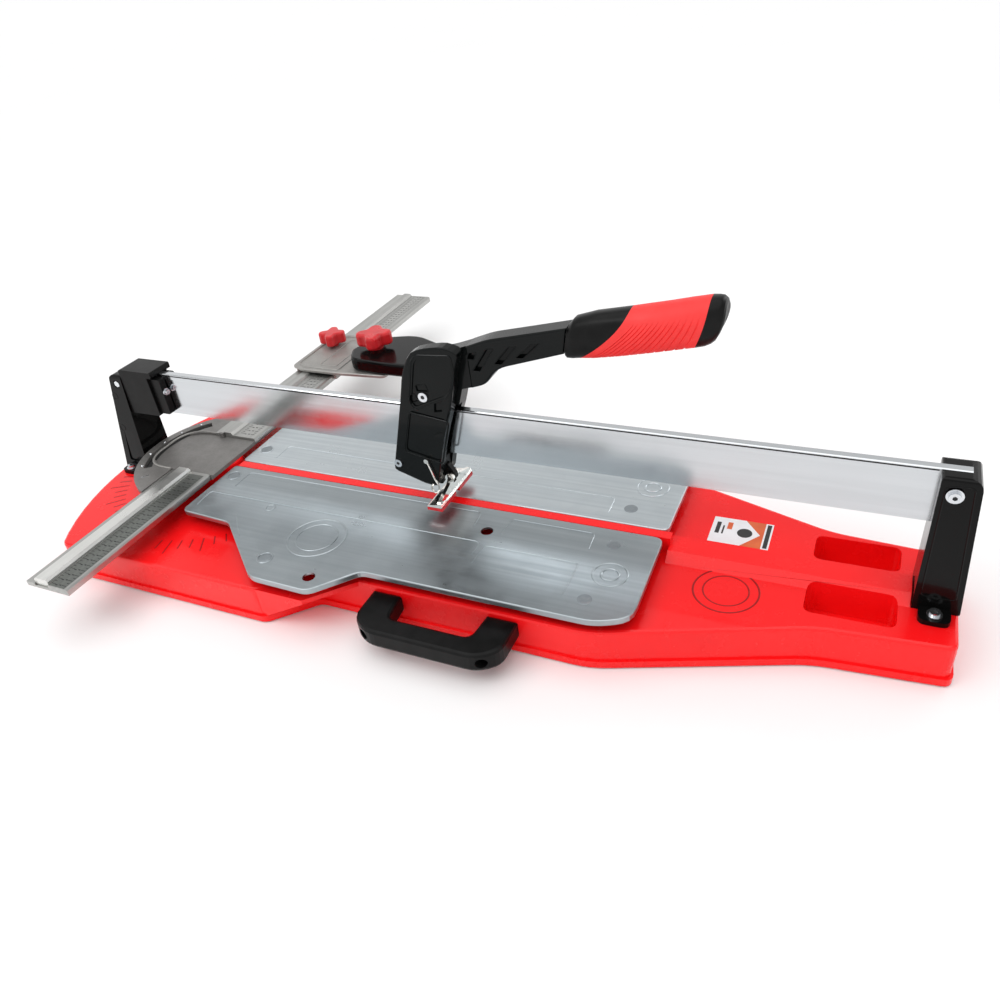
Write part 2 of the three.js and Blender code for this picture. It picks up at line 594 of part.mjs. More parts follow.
// Spine between the covers, carried on into the lever arm with slanted recesses in both sides.
function leverArm() {
  const spine = outline([
    [407, 225, 1], [418, 262, 10], [432, 282, 10], [453, 289, 8], [478, 295, 6], ...ARM_TOP, ...ARM_BOTTOM,
    [488, 247, 2], [481, 225, 1], [469, 225, 1], [476, 262, 4], [425, 262, 4], [414, 225, 1],
  ]);
  const thin = slab(spine, -CORE_HALF, CORE_HALF, 'y');
  const wide = slab(outline([...ARM_TOP, ...ARM_BOTTOM]), -14, 14, 'y', { bevel: 2.5, segments: 2 });
  let arm = union(thin, wide);
  for (const [low, high] of ARM_SLOTS) {
    const slot = outline([
      [low[0] - SLOT_REACH, low[1], 3], [high[0] - SLOT_REACH, high[1], 3],
      [high[0] + SLOT_REACH, high[1] + 1, 3], [low[0] + SLOT_REACH, low[1], 3],
    ]);
    arm = cut(arm, slab(slot, -16, -SLOT_FLOOR, 'y'), slab(slot, SLOT_FLOOR, 16, 'y'));
  }
  return arm;
}

const GRIP = [
  [619, 297], [628, 342], [700, 358], [776, 374], [785, 350], [772, 325], [700, 309],
];
const GRIP_PARTING = [[626, 288], [692, 372]]; // slanting joint between shoulder and soft sleeve
const CAP_PARTING = [[760, 310], [775, 385]];

function besideLine([[x0, z0], [x1, z1]], shift, far) {
  return slab(outline([[x0 + shift, z0], [x1 + shift, z1], [far, 420], [far, 240]]), -60, 60, 'y');
}

function addGrip() {
  const grip = slab(outline(GRIP), -18, 18, 'y', { bevel: 9, segments: 3 });
  const half = GAP / 2;
  addPart('grip_core', cut(grip, besideLine(GRIP_PARTING, -half, 900)), softBlack);
  addPart('grip_sleeve', cut(grip, besideLine(GRIP_PARTING, half, 500), besideLine(CAP_PARTING, -half, 900)),
    gripRed);
  addPart('grip_end_cap', cut(grip, besideLine(CAP_PARTING, half, 500)), softBlack);
}

function addHead() {
  addPart('head_front_cover', headCover(FRONT_COVER, [UPPER_PANEL, LOWER_PANEL], COVER_POCKETS), black);
  addPart('head_rear_cover', mirrored(headCover(REAR_COVER, [LOWER_PANEL], [])), black);
  addPart('lever_arm', leverArm(), black);
  addGrip();
  const panelFace = -HEAD_OUTER + PANEL_DEPTH;
  const ring = bar('y', 6.2, panelFace - 2.4, panelFace - GAP, ...PIVOT);
  const socket = bar('y', 2.8, panelFace - 4, panelFace - 1.2, ...PIVOT, 6);
  addPart('pivot_screw', cut(ring, socket), zinc);
  const smallRing = bar('y', 5.5, -HEAD_OUTER - 2.2, -HEAD_OUTER - GAP, ...LOWER_SCREW);
  const smallSocket = bar('y', 2.4, -HEAD_OUTER - 4, -HEAD_OUTER - 1.2, ...LOWER_SCREW, 6);
  addPart('lower_screw', cut(smallRing, smallSocket), zinc);
}

// ---------------------------------------------------------------- scoring wheel and breaker foot
function addTooling() {
  const holderBody = slab(outline([[412, 118, 3], [412, 143, 3], [446, 143, 3], [443, 118, 3]]),
    -CORE_HALF, CORE_HALF, 'y');
  const fork = slab(outline([[416, 102, 3], [416, 122, 0], [442, 122, 0], [438, 102, 3]]), -7, 7, 'y');
  const lug = slab(outline([[436, 132, 0], [447, 132, 3], [456, 118, 4], [456, 109, 4], [446, 109, 3],
    [436, 118, 0]]), -3.6, 3.6, 'y');
  const wheelSlot = bar('y', 13, -2, 2, ...WHEEL, 32);
  const axleBore = bar('y', SMALL_PIN_RADIUS + GAP, -20, 20, ...WHEEL, 20);
  const pinBore = bar('y', SMALL_PIN_RADIUS + GAP, -20, 20, ...FOOT_PIN, 20);
  addPart('wheel_holder', cut(union(holderBody, fork, lug), wheelSlot, axleBore, pinBore), softBlack);
  addPart('wheel_axle', bar('y', SMALL_PIN_RADIUS, -8, 8, ...WHEEL, 20), zinc);
  const halfWheel = bar('y', HUB_RADIUS, -WHEEL_HALF, 0, ...WHEEL, 32, WHEEL_RADIUS);
  addPart('scoring_wheel', cut(union(halfWheel, mirrored(halfWheel)), axleBore), zinc);
  addPart('foot_pin', bar('y', SMALL_PIN_RADIUS, -9.5, 9.5, ...FOOT_PIN, 20), zinc);
  addBreakerFoot();
  addHook();
}

const WING = 45; // reach of the foot to each side of the cut
const PAD_LOW = 86.2;
const PAD_HIGH = 91 - GAP;

function addBreakerFoot() {
  const wings = outline([[-WING, 91, 2], [WING, 91, 2], [WING, 98, 3], [12, 109, 6], [9.5, 121, 4],
    [-9.5, 121, 4], [-12, 109, 6], [-WING, 98, 3]]);
  const web = slab(wings, 447, 452, 'x');
  const soleSection = outline([[431, 91, 1], [453, 91, 1], [452, 96, 1], [434, 93.5, 1]]);
  const sole = slab(soleSection, -WING, WING, 'y');
  const ears = bar('y', 6, -9.5, 9.5, ...FOOT_PIN);
  const lugBay = block(430, 470, -4, 4, 104, 130);
  const bore = bar('y', SMALL_PIN_RADIUS + GAP, -20, 20, ...FOOT_PIN, 20);
  addPart('breaker_foot', cut(union(web, ears, sole), lugBay, bore), chrome);
  addPart('front_foot_pad', block(432, 453.5, -WING, -5, PAD_LOW, PAD_HIGH), knobRed);
  addPart('rear_foot_pad', block(432, 453.5, 5, WING, PAD_LOW, PAD_HIGH), knobRed);
}

const HOOK_Y = -29.5;
const HOOK_TOP = [433, 150];

// Bent wire that holds the foot up while scoring.
function addHook() {
  const path = new THREE.CatmullRomCurve3([
    [HOOK_TOP[0], HOOK_TOP[1]], [437, 138], [441, 124], [444.5, 116], [443, 106], [436.5, 104], [434, 112],
    [438, 117],
  ].map(([x, z]) => new THREE.Vector3(x, HOOK_Y, z)));
  const wire = solid(new THREE.ExtrudeGeometry(circle(0, 0, 1.3), {
    steps: 24, extrudePath: path, curveSegments: 4, bevelEnabled: false,
  }));
  const eye = bar('y', 3.2, HOOK_Y - 1.6, HOOK_Y + 1.6, ...HOOK_TOP, 20);
  addPart('retaining_hook', union(wire, eye), chrome);
}

// ---------------------------------------------------------------- build
addBase();
addTowers();
addHandle();
addTables();
addRuler();
addStop();
addSlider();
addHead();
addTooling();

export default cutter;
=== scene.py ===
"""Looks for the tile cutter: materials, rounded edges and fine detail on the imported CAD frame."""
import math

import bmesh
import bpy
from mathutils import Euler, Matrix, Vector


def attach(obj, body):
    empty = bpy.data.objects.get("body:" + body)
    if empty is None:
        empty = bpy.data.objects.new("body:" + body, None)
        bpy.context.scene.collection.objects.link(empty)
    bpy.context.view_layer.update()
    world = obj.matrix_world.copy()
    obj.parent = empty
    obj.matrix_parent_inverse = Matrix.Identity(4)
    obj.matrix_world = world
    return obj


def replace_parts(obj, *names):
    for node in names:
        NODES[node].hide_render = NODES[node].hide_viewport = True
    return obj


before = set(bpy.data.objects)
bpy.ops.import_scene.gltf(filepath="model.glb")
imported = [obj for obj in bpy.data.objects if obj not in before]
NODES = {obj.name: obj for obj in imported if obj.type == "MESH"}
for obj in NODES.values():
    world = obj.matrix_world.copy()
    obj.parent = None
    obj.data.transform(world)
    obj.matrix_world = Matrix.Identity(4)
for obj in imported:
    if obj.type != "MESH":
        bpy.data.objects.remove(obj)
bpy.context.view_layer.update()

# Part lengths below are in mm on the cut line's axes; at() moves them to the model's origin.
MM = 0.001
ORIGIN_X = 457.5
ORIGIN_Y = 157.5

# Camera.
CAMERA_AT = (918.7, -765.0, 680.1)
CAMERA_TURN = (55.288, 6.039, 23.734)
CAMERA_LENS = 29.46
SENSOR = 36.0

# Faces that carry detail.
TABLE_TOP = 75.0
BASE_TOP = 53.5
DISC_TOP = 84.5
RULER_TOP = 85.5
REAR_RULER_TOP = 86.0
SWING = (50.0, 0.0)
COVER_FRONT = -26.0
ARM_FRONT = -14.0
RAIL_FRONT = -5.0


def at(x, y, z):
    """A point in mm on the cut line's axes, in scene metres."""
    return Vector(((x - ORIGIN_X) * MM, (y - ORIGIN_Y) * MM, z * MM))


def polar(radius, degrees, centre=SWING):
    """Point on a circle, as a pair in mm."""
    angle = math.radians(degrees)
    return centre[0] + radius * math.cos(angle), centre[1] + radius * math.sin(angle)


# ---------------------------------------------------------------- node graphs
class Graph:
    """A material's node tree, with short calls for the few nodes used here."""

    def __init__(self, name):
        self.material = bpy.data.materials.new(name)
        self.material.use_nodes = True
        self.tree = self.material.node_tree
        self.shader = self.tree.nodes["Principled BSDF"]
        self.place = self.tree.nodes.new("ShaderNodeTexCoord").outputs["Object"]

    def link(self, output, target):
        self.tree.links.new(output, target)

    def stretch(self, scale):
        """Object coordinates scaled by (x, y, z), for grain that runs one way."""
        mapping = self.tree.nodes.new("ShaderNodeMapping")
        mapping.inputs["Scale"].default_value = scale
        self.link(self.place, mapping.inputs["Vector"])
        return mapping.outputs["Vector"]

    def noise(self, scale, detail=3.0, roughness=0.5, place=None):
        node = self.tree.nodes.new("ShaderNodeTexNoise")
        node.inputs["Scale"].default_value = scale
        node.inputs["Detail"].default_value = detail
        node.inputs["Roughness"].default_value = roughness
        self.link(place or self.place, node.inputs["Vector"])
        return node.outputs["Fac"]

    def cells(self, scale):
        node = self.tree.nodes.new("ShaderNodeTexVoronoi")
        node.inputs["Scale"].default_value = scale
        self.link(self.place, node.inputs["Vector"])
        return node.outputs["Color"]

    def ranged(self, value, low, high, from_low=0.3, from_high=0.7):
        node = self.tree.nodes.new("ShaderNodeMapRange")
        node.inputs["From Min"].default_value = from_low
        node.inputs["From Max"].default_value = from_high
        node.inputs["To Min"].default_value = low
        node.inputs["To Max"].default_value = high
        self.link(value, node.inputs["Value"])
        return node.outputs["Result"]

    def blend(self, factor, first, second):
        node = self.tree.nodes.new("ShaderNodeMix")
        node.data_type = "RGBA"
        self.link(factor, node.inputs["Factor"])
        for socket, colour in (("A", first), ("B", second)):
            target = [s for s in node.inputs if s.name == socket and s.type == "RGBA"][0]
            if isinstance(colour, tuple):
                target.default_value = (*colour, 1.0)
            else:
                self.link(colour, target)
        return [s for s in node.outputs if s.type == "RGBA"][0]

    def add(self, first, second, weight=1.0):
        node = self.tree.nodes.new("ShaderNodeMath")
        node.operation = "MULTIPLY_ADD"
        self.link(second, node.inputs[0])
        node.inputs[1].default_value = weight
        self.link(first, node.inputs[2])
        return node.outputs[0]

    def bump(self, height, distance_mm):
        node = self.tree.nodes.new("ShaderNodeBump")
        node.inputs["Distance"].default_value = distance_mm * MM
        self.link(height, node.inputs["Height"])
        self.link(node.outputs["Normal"], self.shader.inputs["Normal"])

    def set(self, **values):
        for name, value in values.items():
            socket = self.shader.inputs[name.replace("_", " ")]
            socket.default_value = (*value, 1.0) if isinstance(value, tuple) else value

    def drive(self, name, output):
        self.link(output, self.shader.inputs[name])


def paint(name, light, dark, roughness, coat, peel_mm=0.012, shine=0.5):
    """Powder coat: slight colour drift, orange peel and patchy gloss under a clear coat."""
    g = Graph(name)
    g.drive("Base Color", g.blend(g.ranged(g.noise(9.0), 0.0, 1.0), light, dark))
    g.drive("Roughness", g.ranged(g.noise(35.0, 5.0, 0.6), roughness * 0.75, roughness * 1.3))
    g.set(Coat_Weight=coat, Coat_Roughness=0.05, Specular_IOR_Level=shine)
    g.bump(g.add(g.noise(130.0, 1.0), g.noise(320.0, 1.0), 0.3), peel_mm)
    return g.material


def plastic(name, light, dark, roughness, grain_scale, grain_mm, shine=0.5):
    """Moulded plastic: fine pitted grain with a soft gloss drift."""
    g = Graph(name)
    g.drive("Base Color", g.blend(g.ranged(g.noise(60.0, 4.0), 0.0, 1.0), light, dark))
    g.drive("Roughness", g.ranged(g.noise(25.0, 4.0), roughness * 0.85, roughness * 1.15))
    g.set(Specular_IOR_Level=shine)
    g.bump(g.noise(grain_scale, 2.0), grain_mm)
    return g.material


def metal(name, light, dark, roughness, grain, streak_mm=0.008, spangle=0.0):
    """Worked metal: streaks along the axis with the small scale, and zinc spangle where asked."""
    g = Graph(name)
    streaks = g.noise(1.0, 2.0, 0.5, g.stretch(grain))
    tone = g.add(g.ranged(streaks, 0.0, 0.5), g.noise(7.0, 3.0), 0.4)
    colour = g.blend(tone, light, dark)
    if spangle:
        colour = g.blend(g.ranged(g.cells(60.0), 0.0, spangle, 0.0, 1.0), colour, dark)
    g.drive("Base Color", colour)
    haze = g.add(g.noise(14.0, 5.0, 0.65), streaks, 0.4)
    g.drive("Roughness", g.ranged(haze, roughness * 0.75, roughness * 1.3, 0.5, 0.95))
    g.set(Metallic=1.0)
    g.bump(streaks, streak_mm)
    return g.material


def casting(name, light, dark, metallic):
    """Satin die casting: mottled tone and fine pitting."""
    g = Graph(name)
    mottle = g.add(g.noise(30.0, 5.0, 0.6), g.noise(300.0, 2.0), 0.4)
    g.drive("Base Color", g.blend(g.ranged(mottle, 0.0, 1.0, 0.45, 0.95), light, dark))
    g.drive("Roughness", g.ranged(g.noise(40.0, 4.0), 0.42, 0.58))
    g.set(Metallic=metallic)
    g.bump(g.add(g.noise(260.0, 1.0), g.noise(600.0, 1.0), 0.4), 0.03)
    return g.material


# Grain: noise scale on each axis, small along the streaks.
EVEN = (200.0, 200.0, 200.0)
ALONG_X = (3.0, 170.0, 170.0)
ALONG_Y = (200.0, 5.0, 200.0)

RED_PAINT = paint("red_powder_coat", (0.96, 0.008, 0.010), (0.88, 0.005, 0.007), 0.24, 0.2, shine=0.25)
# Dark red for the base's angle marks and pressed rings: painted shade of the engraving and pressings.
SHADED_ENGRAVING_RED = paint("shaded_red_engraving", (0.36, 0.004, 0.005), (0.28, 0.003, 0.004), 0.4, 0.1, shine=0.2)
BLACK_PAINT = paint("black_powder_coat", (0.002, 0.002, 0.002), (0.004, 0.004, 0.004), 0.16, 0.12, shine=0.1)
HEAD_BLACK = paint("black_cast_coat", (0.002, 0.003, 0.003), (0.005, 0.006, 0.006), 0.20, 0.12, shine=0.1)
BLACK_PLASTIC = plastic("black_moulded_plastic", (0.003, 0.003, 0.003), (0.007, 0.007, 0.007), 0.34, 1400.0,
                        0.012, shine=0.14)
RUBBER = plastic("black_rubber", (0.018, 0.018, 0.018), (0.03, 0.03, 0.03), 0.8, 700.0, 0.05)
GRIP_RED = plastic("red_soft_grip", (0.88, 0.030, 0.028), (0.80, 0.022, 0.020), 0.55, 1600.0, 0.02)
KNOB_RED = plastic("red_knob_plastic", (0.66, 0.012, 0.018), (0.52, 0.008, 0.012), 0.30, 1200.0, 0.012)
GALVANISED = metal("galvanised_sheet", (0.70, 0.75, 0.77), (0.48, 0.53, 0.56), 0.34, ALONG_X, 0.0012, 0.22)
# Same galvanised sheet as the rear table, painted darker to stand for the shade on the front table.
SHADED_SHEET = metal("shaded_galvanised_sheet", (0.46, 0.50, 0.52), (0.31, 0.35, 0.37), 0.36, ALONG_X,
                   0.0012, 0.22)
RAIL_STEEL = metal("polished_rail_steel", (0.66, 0.68, 0.70), (0.56, 0.58, 0.60), 0.16, ALONG_X, 0.0015)
ZINC = metal("zinc_plated_steel", (0.80, 0.82, 0.84), (0.60, 0.62, 0.66), 0.22, EVEN, 0.006)
DULL_ZINC = metal("dull_zinc_rivets", (0.34, 0.37, 0.39), (0.26, 0.29, 0.31), 0.45, EVEN, 0.008)
CHROME = metal("bright_plated_steel", (0.90, 0.88, 0.84), (0.66, 0.64, 0.60), 0.12, EVEN, 0.008)
CARBIDE = metal("ground_carbide", (0.42, 0.42, 0.43), (0.3, 0.3, 0.31), 0.3, EVEN, 0.008)
ALUMINIUM = metal("drawn_aluminium", (0.52, 0.52, 0.50), (0.38, 0.38, 0.37), 0.38, ALONG_Y)
BRIGHT_BAR = metal("bright_drawn_bar", (0.86, 0.86, 0.83), (0.72, 0.72, 0.70), 0.34, ALONG_Y)
SCALE_BAND = metal("dark_scale_band", (0.22, 0.23, 0.215), (0.14, 0.15, 0.14), 0.42, ALONG_Y)
CAST_GREY = casting("satin_die_casting", (0.27, 0.26, 0.25), (0.19, 0.183, 0.176), 0.6)
CAST_LIGHT = casting("light_die_casting", (0.40, 0.39, 0.37), (0.29, 0.283, 0.27), 0.65)
# Blackened steel for the pins; the same dark also paints the shadow line under the rail's head.
BLACK_STEEL_AND_SHADE = metal("blackened_steel_and_painted_shade", (0.05, 0.05, 0.05), (0.03, 0.03, 0.03), 0.4, EVEN, 0.006)
# Dark ink for the printed ticks and label print; the same dark also paints shade in the screw sockets and
# the protractor slot.
INK_AND_SHADE = plastic("dark_print_and_painted_shade", (0.012, 0.012, 0.012), (0.02, 0.02, 0.02), 0.6, 900.0, 0.01)
LABEL_WHITE = plastic("label_white", (0.82, 0.82, 0.84), (0.76, 0.76, 0.78), 0.35, 1500.0, 0.004)
LABEL_ORANGE = plastic("label_orange", (0.70, 0.14, 0.03), (0.62, 0.09, 0.02), 0.35, 1500.0, 0.004)

# ---------------------------------------------------------------- CAD nodes
FINISHES = {
    RED_PAINT: ["base_shell"],
    BLACK_PAINT: ["right_tower", "left_tower", "swing_arm"],
    HEAD_BLACK: ["head_front_cover", "head_rear_cover", "lever_arm"],
    BLACK_PLASTIC: ["guide_clamp", "carry_handle", "slider_block", "wheel_holder"],
    KNOB_RED: ["carriage_knob", "arm_knob", "front_foot_pad", "rear_foot_pad"],
    GALVANISED: ["rear_table"],
    # Front table: the darker copy of the sheet, painted shade.
    SHADED_SHEET: ["front_table"],
    RAIL_STEEL: ["guide_rail"],
    CHROME: ["breaker_foot", "retaining_hook"],
    CARBIDE: ["scoring_wheel"],
    CAST_GREY: ["protractor"],
    CAST_LIGHT: ["stop_carriage"],
    BLACK_STEEL_AND_SHADE: ["pivot_pin", "foot_pin"],
    ALUMINIUM: ["front_ruler", "rear_ruler"],
    BRIGHT_BAR: ["ruler_extension"],
}
# Width in mm of the rounding on each node's edges.
EDGE = {
    "base_shell": 1.8, "right_tower": 2.4, "left_tower": 1.8, "guide_clamp": 1.2, "carry_handle": 1.6,
    "front_table": 0.8, "rear_table": 0.8, "guide_rail": 0.6, "protractor": 0.7, "front_ruler": 0.4,
    "rear_ruler": 0.4, "ruler_extension": 0.5, "stop_carriage": 0.8, "swing_arm": 1.5, "arm_knob": 1.8,
    "carriage_knob": 1.5, "head_front_cover": 0.7, "head_rear_cover": 0.7, "lever_arm": 1.0,
    "slider_block": 0.8, "wheel_holder": 0.8, "breaker_foot": 0.5,
}
SMALL_EDGE = 0.25
FLAT_LIMIT = math.radians(0.6)
BEVEL_LIMIT = math.radians(24)
SMOOTH_LIMIT = math.radians(32)


def smooth_by_angle():
    """Geometry nodes that shade smooth and keep edges over the limit sharp."""
    tree = bpy.data.node_groups.new("smooth_by_angle", "GeometryNodeTree")
    tree.interface.new_socket("Geometry", in_out="INPUT", socket_type="NodeSocketGeometry")
    tree.interface.new_socket("Geometry", in_out="OUTPUT", socket_type="NodeSocketGeometry")
    entry = tree.nodes.new("NodeGroupInput")
    leave = tree.nodes.new("NodeGroupOutput")
    faces = tree.nodes.new("GeometryNodeSetShadeSmooth")
    edges = tree.nodes.new("GeometryNodeSetShadeSmooth")
    edges.domain = "EDGE"
    edges.inputs["Shade Smooth"].default_value = False
    angle = tree.nodes.new("GeometryNodeInputMeshEdgeAngle")
    over = tree.nodes.new("FunctionNodeCompare")
    over.operation = "GREATER_THAN"
    over.inputs[1].default_value = SMOOTH_LIMIT
    tree.links.new(angle.outputs["Unsigned Angle"], over.inputs[0])
    tree.links.new(entry.outputs[0], faces.inputs["Geometry"])
    tree.links.new(faces.outputs["Geometry"], edges.inputs["Geometry"])
    tree.links.new(over.outputs[0], edges.inputs["Selection"])
    tree.links.new(edges.outputs["Geometry"], leave.inputs[0])
    return tree


SMOOTHER = smooth_by_angle()


def shade(obj):
    """Smooth shading that keeps sharp edges."""
    obj.modifiers.new("shade", "NODES").node_group = SMOOTHER


def soften(obj, edge_mm, segments=3):
    """Joins flat facets, rounds the edges that are left and smooths the shading."""
    flat = obj.modifiers.new("flat_faces", "DECIMATE")
    flat.decimate_type = "DISSOLVE"
    flat.angle_limit = FLAT_LIMIT
    bevel = obj.modifiers.new("edge_round", "BEVEL")
    bevel.width = edge_mm * MM
    bevel.segments = segments
    bevel.limit_method = "ANGLE"
    bevel.angle_limit = BEVEL_LIMIT
    shade(obj)


def finish_nodes():
    """Gives every CAD node its material and rounded edges."""
    finish_of = {node: material for material, nodes in FINISHES.items() for node in nodes}
    for name, obj in NODES.items():
        rubbery = "spring" in name or "rubber" in name
        material = finish_of.get(name, RUBBER if rubbery else ZINC)
        for slot in obj.material_slots:
            slot.material = material
        soften(obj, EDGE.get(name, SMALL_EDGE))


# ---------------------------------------------------------------- mesh helpers
def skin(bm, rings, closed_row=False, caps=True, closed_ring=True):
    """Skins a row of rings that all hold the same number of points."""
    rows = [[bm.verts.new(p) for p in ring] for ring in rings]
    pairs = list(zip(rows, rows[1:]))
    if closed_row:
        pairs.append((rows[-1], rows[0]))
    count = len(rows[0])
    for lower, upper in pairs:
        for i in range(count if closed_ring else count - 1):
            j = (i + 1) % count
            bm.faces.new((lower[i], lower[j], upper[j], upper[i]))
    if caps and not closed_row:
        bm.faces.new(rows[0])
        bm.faces.new(rows[-1])


def circle_points(x, y, z, radius, count):
    """Level ring of points in scene metres."""
    steps = (2 * math.pi * i / count for i in range(count))
    return [at(x + radius * math.cos(a), y + radius * math.sin(a), z) for a in steps]


def disc(bm, x, y, z, radius, height, count=36):
    """Low disc with a softened rim."""
    levels = ((radius, -0.2), (radius, height * 0.4), (radius * 0.94, height), (radius * 0.5, height))
    skin(bm, [circle_points(x, y, z + h, r, count) for r, h in levels])


def dome(bm, x, y, z, radius, count=16):
    """Small round pip."""
    levels = ((1.0, -0.1), (0.94, 0.35), (0.75, 0.65), (0.4, 0.9), (0.08, 1.0))
    skin(bm, [circle_points(x, y, z + radius * h, radius * r, count) for r, h in levels])


RIDGE = ((-0.5, -0.3), (-0.42, 0.45), (-0.2, 0.9), (0.2, 0.9), (0.42, 0.45), (0.5, -0.3))


def circle_ridge(bm, x, y, z, radius, width, height, count=64):
    """Low rounded bead round a circle."""
    rings = [circle_points(x, y, z + height * h, radius + width * s, count) for s, h in RIDGE]
    skin(bm, rings, closed_row=True)


def rounded(corners, radius, closed=True, steps=6):
    """Points along a path in mm whose corners are rounded."""
    points = []
    count = len(corners)
    for i, corner in enumerate(corners):
        here = Vector(corner)
        if not closed and i in (0, count - 1):
            points.append(here)
            continue
        back = (Vector(corners[i - 1]) - here).normalized() * radius
        ahead = (Vector(corners[(i + 1) % count]) - here).normalized() * radius
        for k in range(steps + 1):
            t = k / steps
            points.append(here + (1 - t) ** 2 * back + t ** 2 * ahead)
    return points


def path_ridge(bm, path, place, width, height, closed=True):
    """Low rounded bead along a flat path; place turns (u, v, lift) into a point."""
    rings = []
    count = len(path)
    for i, point in enumerate(path):
        before = path[i - 1] if closed or i else point
        after = path[(i + 1) % count] if closed or i < count - 1 else point
        along = (after - before).normalized()
        side = Vector((-along.y, along.x))
        rings.append([place(*(point + side * width * s), height * h) for s, h in RIDGE])
    skin(bm, rings, closed_row=closed)


def on_top(z):
    """Place for paths drawn in XY on a level face."""
    return lambda x, y, lift: at(x, y, z + lift)


def on_front(y):
    """Place for paths drawn in XZ on a face that looks to the front."""
    return lambda x, z, lift: at(x, y - lift, z)


def box(bm, x0, x1, y0, y1, z0, z1):
    """Box between two values on each axis."""
    corners = [at(x, y, z) for z in (z0, z1) for x, y in ((x0, y0), (x1, y0), (x1, y1), (x0, y1))]
    verts = [bm.verts.new(c) for c in corners]
    for face in ((0, 3, 2, 1), (4, 5, 6, 7), (0, 1, 5, 4), (1, 2, 6, 5), (2, 3, 7, 6), (3, 0, 4, 7)):
        bm.faces.new([verts[i] for i in face])


def strip(bm, start, end, width, z0, z1):
    """Straight low bar between two points in XY."""
    a, b = Vector(start), Vector(end)
    along = (b - a).normalized()
    side = Vector((-along.y, along.x)) * width / 2
    plan = [a - side, b - side, b + side, a + side]
    skin(bm, [[at(*p, z) for p in plan] for z in (z0, z1)])


def front_disc(bm, x, y, z, radius, lift=0.15, count=18):
    """Thin disc on a face that looks to the front."""
    circle = [polar(radius, 360 * i / count, (x, z)) for i in range(count)]
    skin(bm, [[at(u, y - h, w) for u, w in circle] for h in (-0.1, lift)])


def flat_shape(bm, corners, z0, z1):
    """Low shape with a flat top and any outline in XY."""
    skin(bm, [[at(x, y, z) for x, y in corners] for z in (z0, z1)])


def piece(name, body, material, draw):
    """A new object, drawn into a bmesh by draw(bm), that rides on a body."""
    bm = bmesh.new()
    draw(bm)
    bmesh.ops.recalc_face_normals(bm, faces=bm.faces[:])
    mesh = bpy.data.meshes.new(name)
    bm.to_mesh(mesh)
    bm.free()
    mesh.materials.append(material)
    obj = bpy.data.objects.new(name, mesh)
    bpy.context.scene.collection.objects.link(obj)
    shade(obj)
    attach(obj, body)
    return obj


# ---------------------------------------------------------------- tables
RIVETS = {
    "front_table": [(101, -32), (270, -180), (676, -36), (674, -137)],
    "rear_table": [(104, 43), (104, 138), (675, 39), (675, 138)],
}
RING_SPOTS = {"front_table": [(688, -89)], "rear_table": [(689, 92)]}
PRESSED_LINES = {
    "front_table": [
        [(121, -54), (121, -18), (495, -18), (497, -48)],
        [(537, -54), (539, -21), (648, -21), (650, -52)],
        [(97, -108), (94, -75), (519, -75), (519, -100)],
        [(526, -114), (526, -80), (648, -80), (648, -138)],
        [(170, -112), (196, -140), (206, -150)],
    ],
    "rear_table": [
        [(134, 26), (134, 60), (649, 57), (650, 25)],
        [(134, 142), (134, 108), (649, 110), (650, 143)],
    ],
}
PLAIN_RING = (311, -125)
SMALL_RING = (208, -86)
RIVET_RADIUS, RIVET_HEIGHT = 8.5, 0.35
# Beads: radius, width and height.
SPOT_BEADS = ((20.0, 2.6, 0.8), (10.0, 3.2, 1.1))
RIVET_BEAD = (9.8, 1.8, 0.7)
PLAIN_BEADS = ((38.0, 3.0, 0.9), (27.0, 2.2, 0.8))
SMALL_BEAD = (6.5, 2.2, 0.8)


def add_table_detail():
    """Rivets, pressed lines and rings on both tables."""
    for body, spots in RIVETS.items():
        def rivets(bm):
            for x, y in spots:
                disc(bm, x, y, TABLE_TOP, RIVET_RADIUS, RIVET_HEIGHT)

        def pressings(bm):
            for x, y in RING_SPOTS[body]:
                for bead in SPOT_BEADS:
                    circle_ridge(bm, x, y, TABLE_TOP, *bead)
            for x, y in spots[:2]:
                circle_ridge(bm, x, y, TABLE_TOP, *RIVET_BEAD)
            for corners in PRESSED_LINES[body]:
                path_ridge(bm, rounded(corners, 7, closed=False), on_top(TABLE_TOP), 2.2, 0.7, closed=False)
            if body == "front_table":
                for bead in PLAIN_BEADS:
                    circle_ridge(bm, *PLAIN_RING, TABLE_TOP, *bead)
                circle_ridge(bm, *SMALL_RING, TABLE_TOP, *SMALL_BEAD, 24)
        piece(body + "_rivets", body, DULL_ZINC, rivets)
        # The front table's pressings take the darker sheet, which is painted shade.
        sheet = SHADED_SHEET if body == "front_table" else GALVANISED
        piece(body + "_pressings", body, sheet, pressings)


# ---------------------------------------------------------------- base
MARK_STEP = 5
LEFT_MARKS = range(200, 240, MARK_STEP)
FRONT_MARKS = range(280, 311, MARK_STEP)
BASE_RING = (811, -55)
BASE_BEADS = ((36.0, 2.2, 0.5), (25.0, 1.8, 0.4))
MARK_RADII = ((146, LEFT_MARKS), (171, FRONT_MARKS))
LONG_MARK, SHORT_MARK = 28, 18
# Sticker: outer edges in X and Y, then the arrow and the strip on its right.
LABEL = {"left": 772, "right": 843, "low": 29, "high": 80}
ARROW_SHOULDER = LABEL["left"] + 38
ARROW_TIP = LABEL["left"] + 58
STRIP_LEFT = LABEL["right"] - 9
# Bottom and top of a thin layer on the base, and of the print that lies over it.
THIN_LAYER = (BASE_TOP - 0.1, BASE_TOP + 0.12)
PRINT_LAYER = (BASE_TOP, BASE_TOP + 0.16)


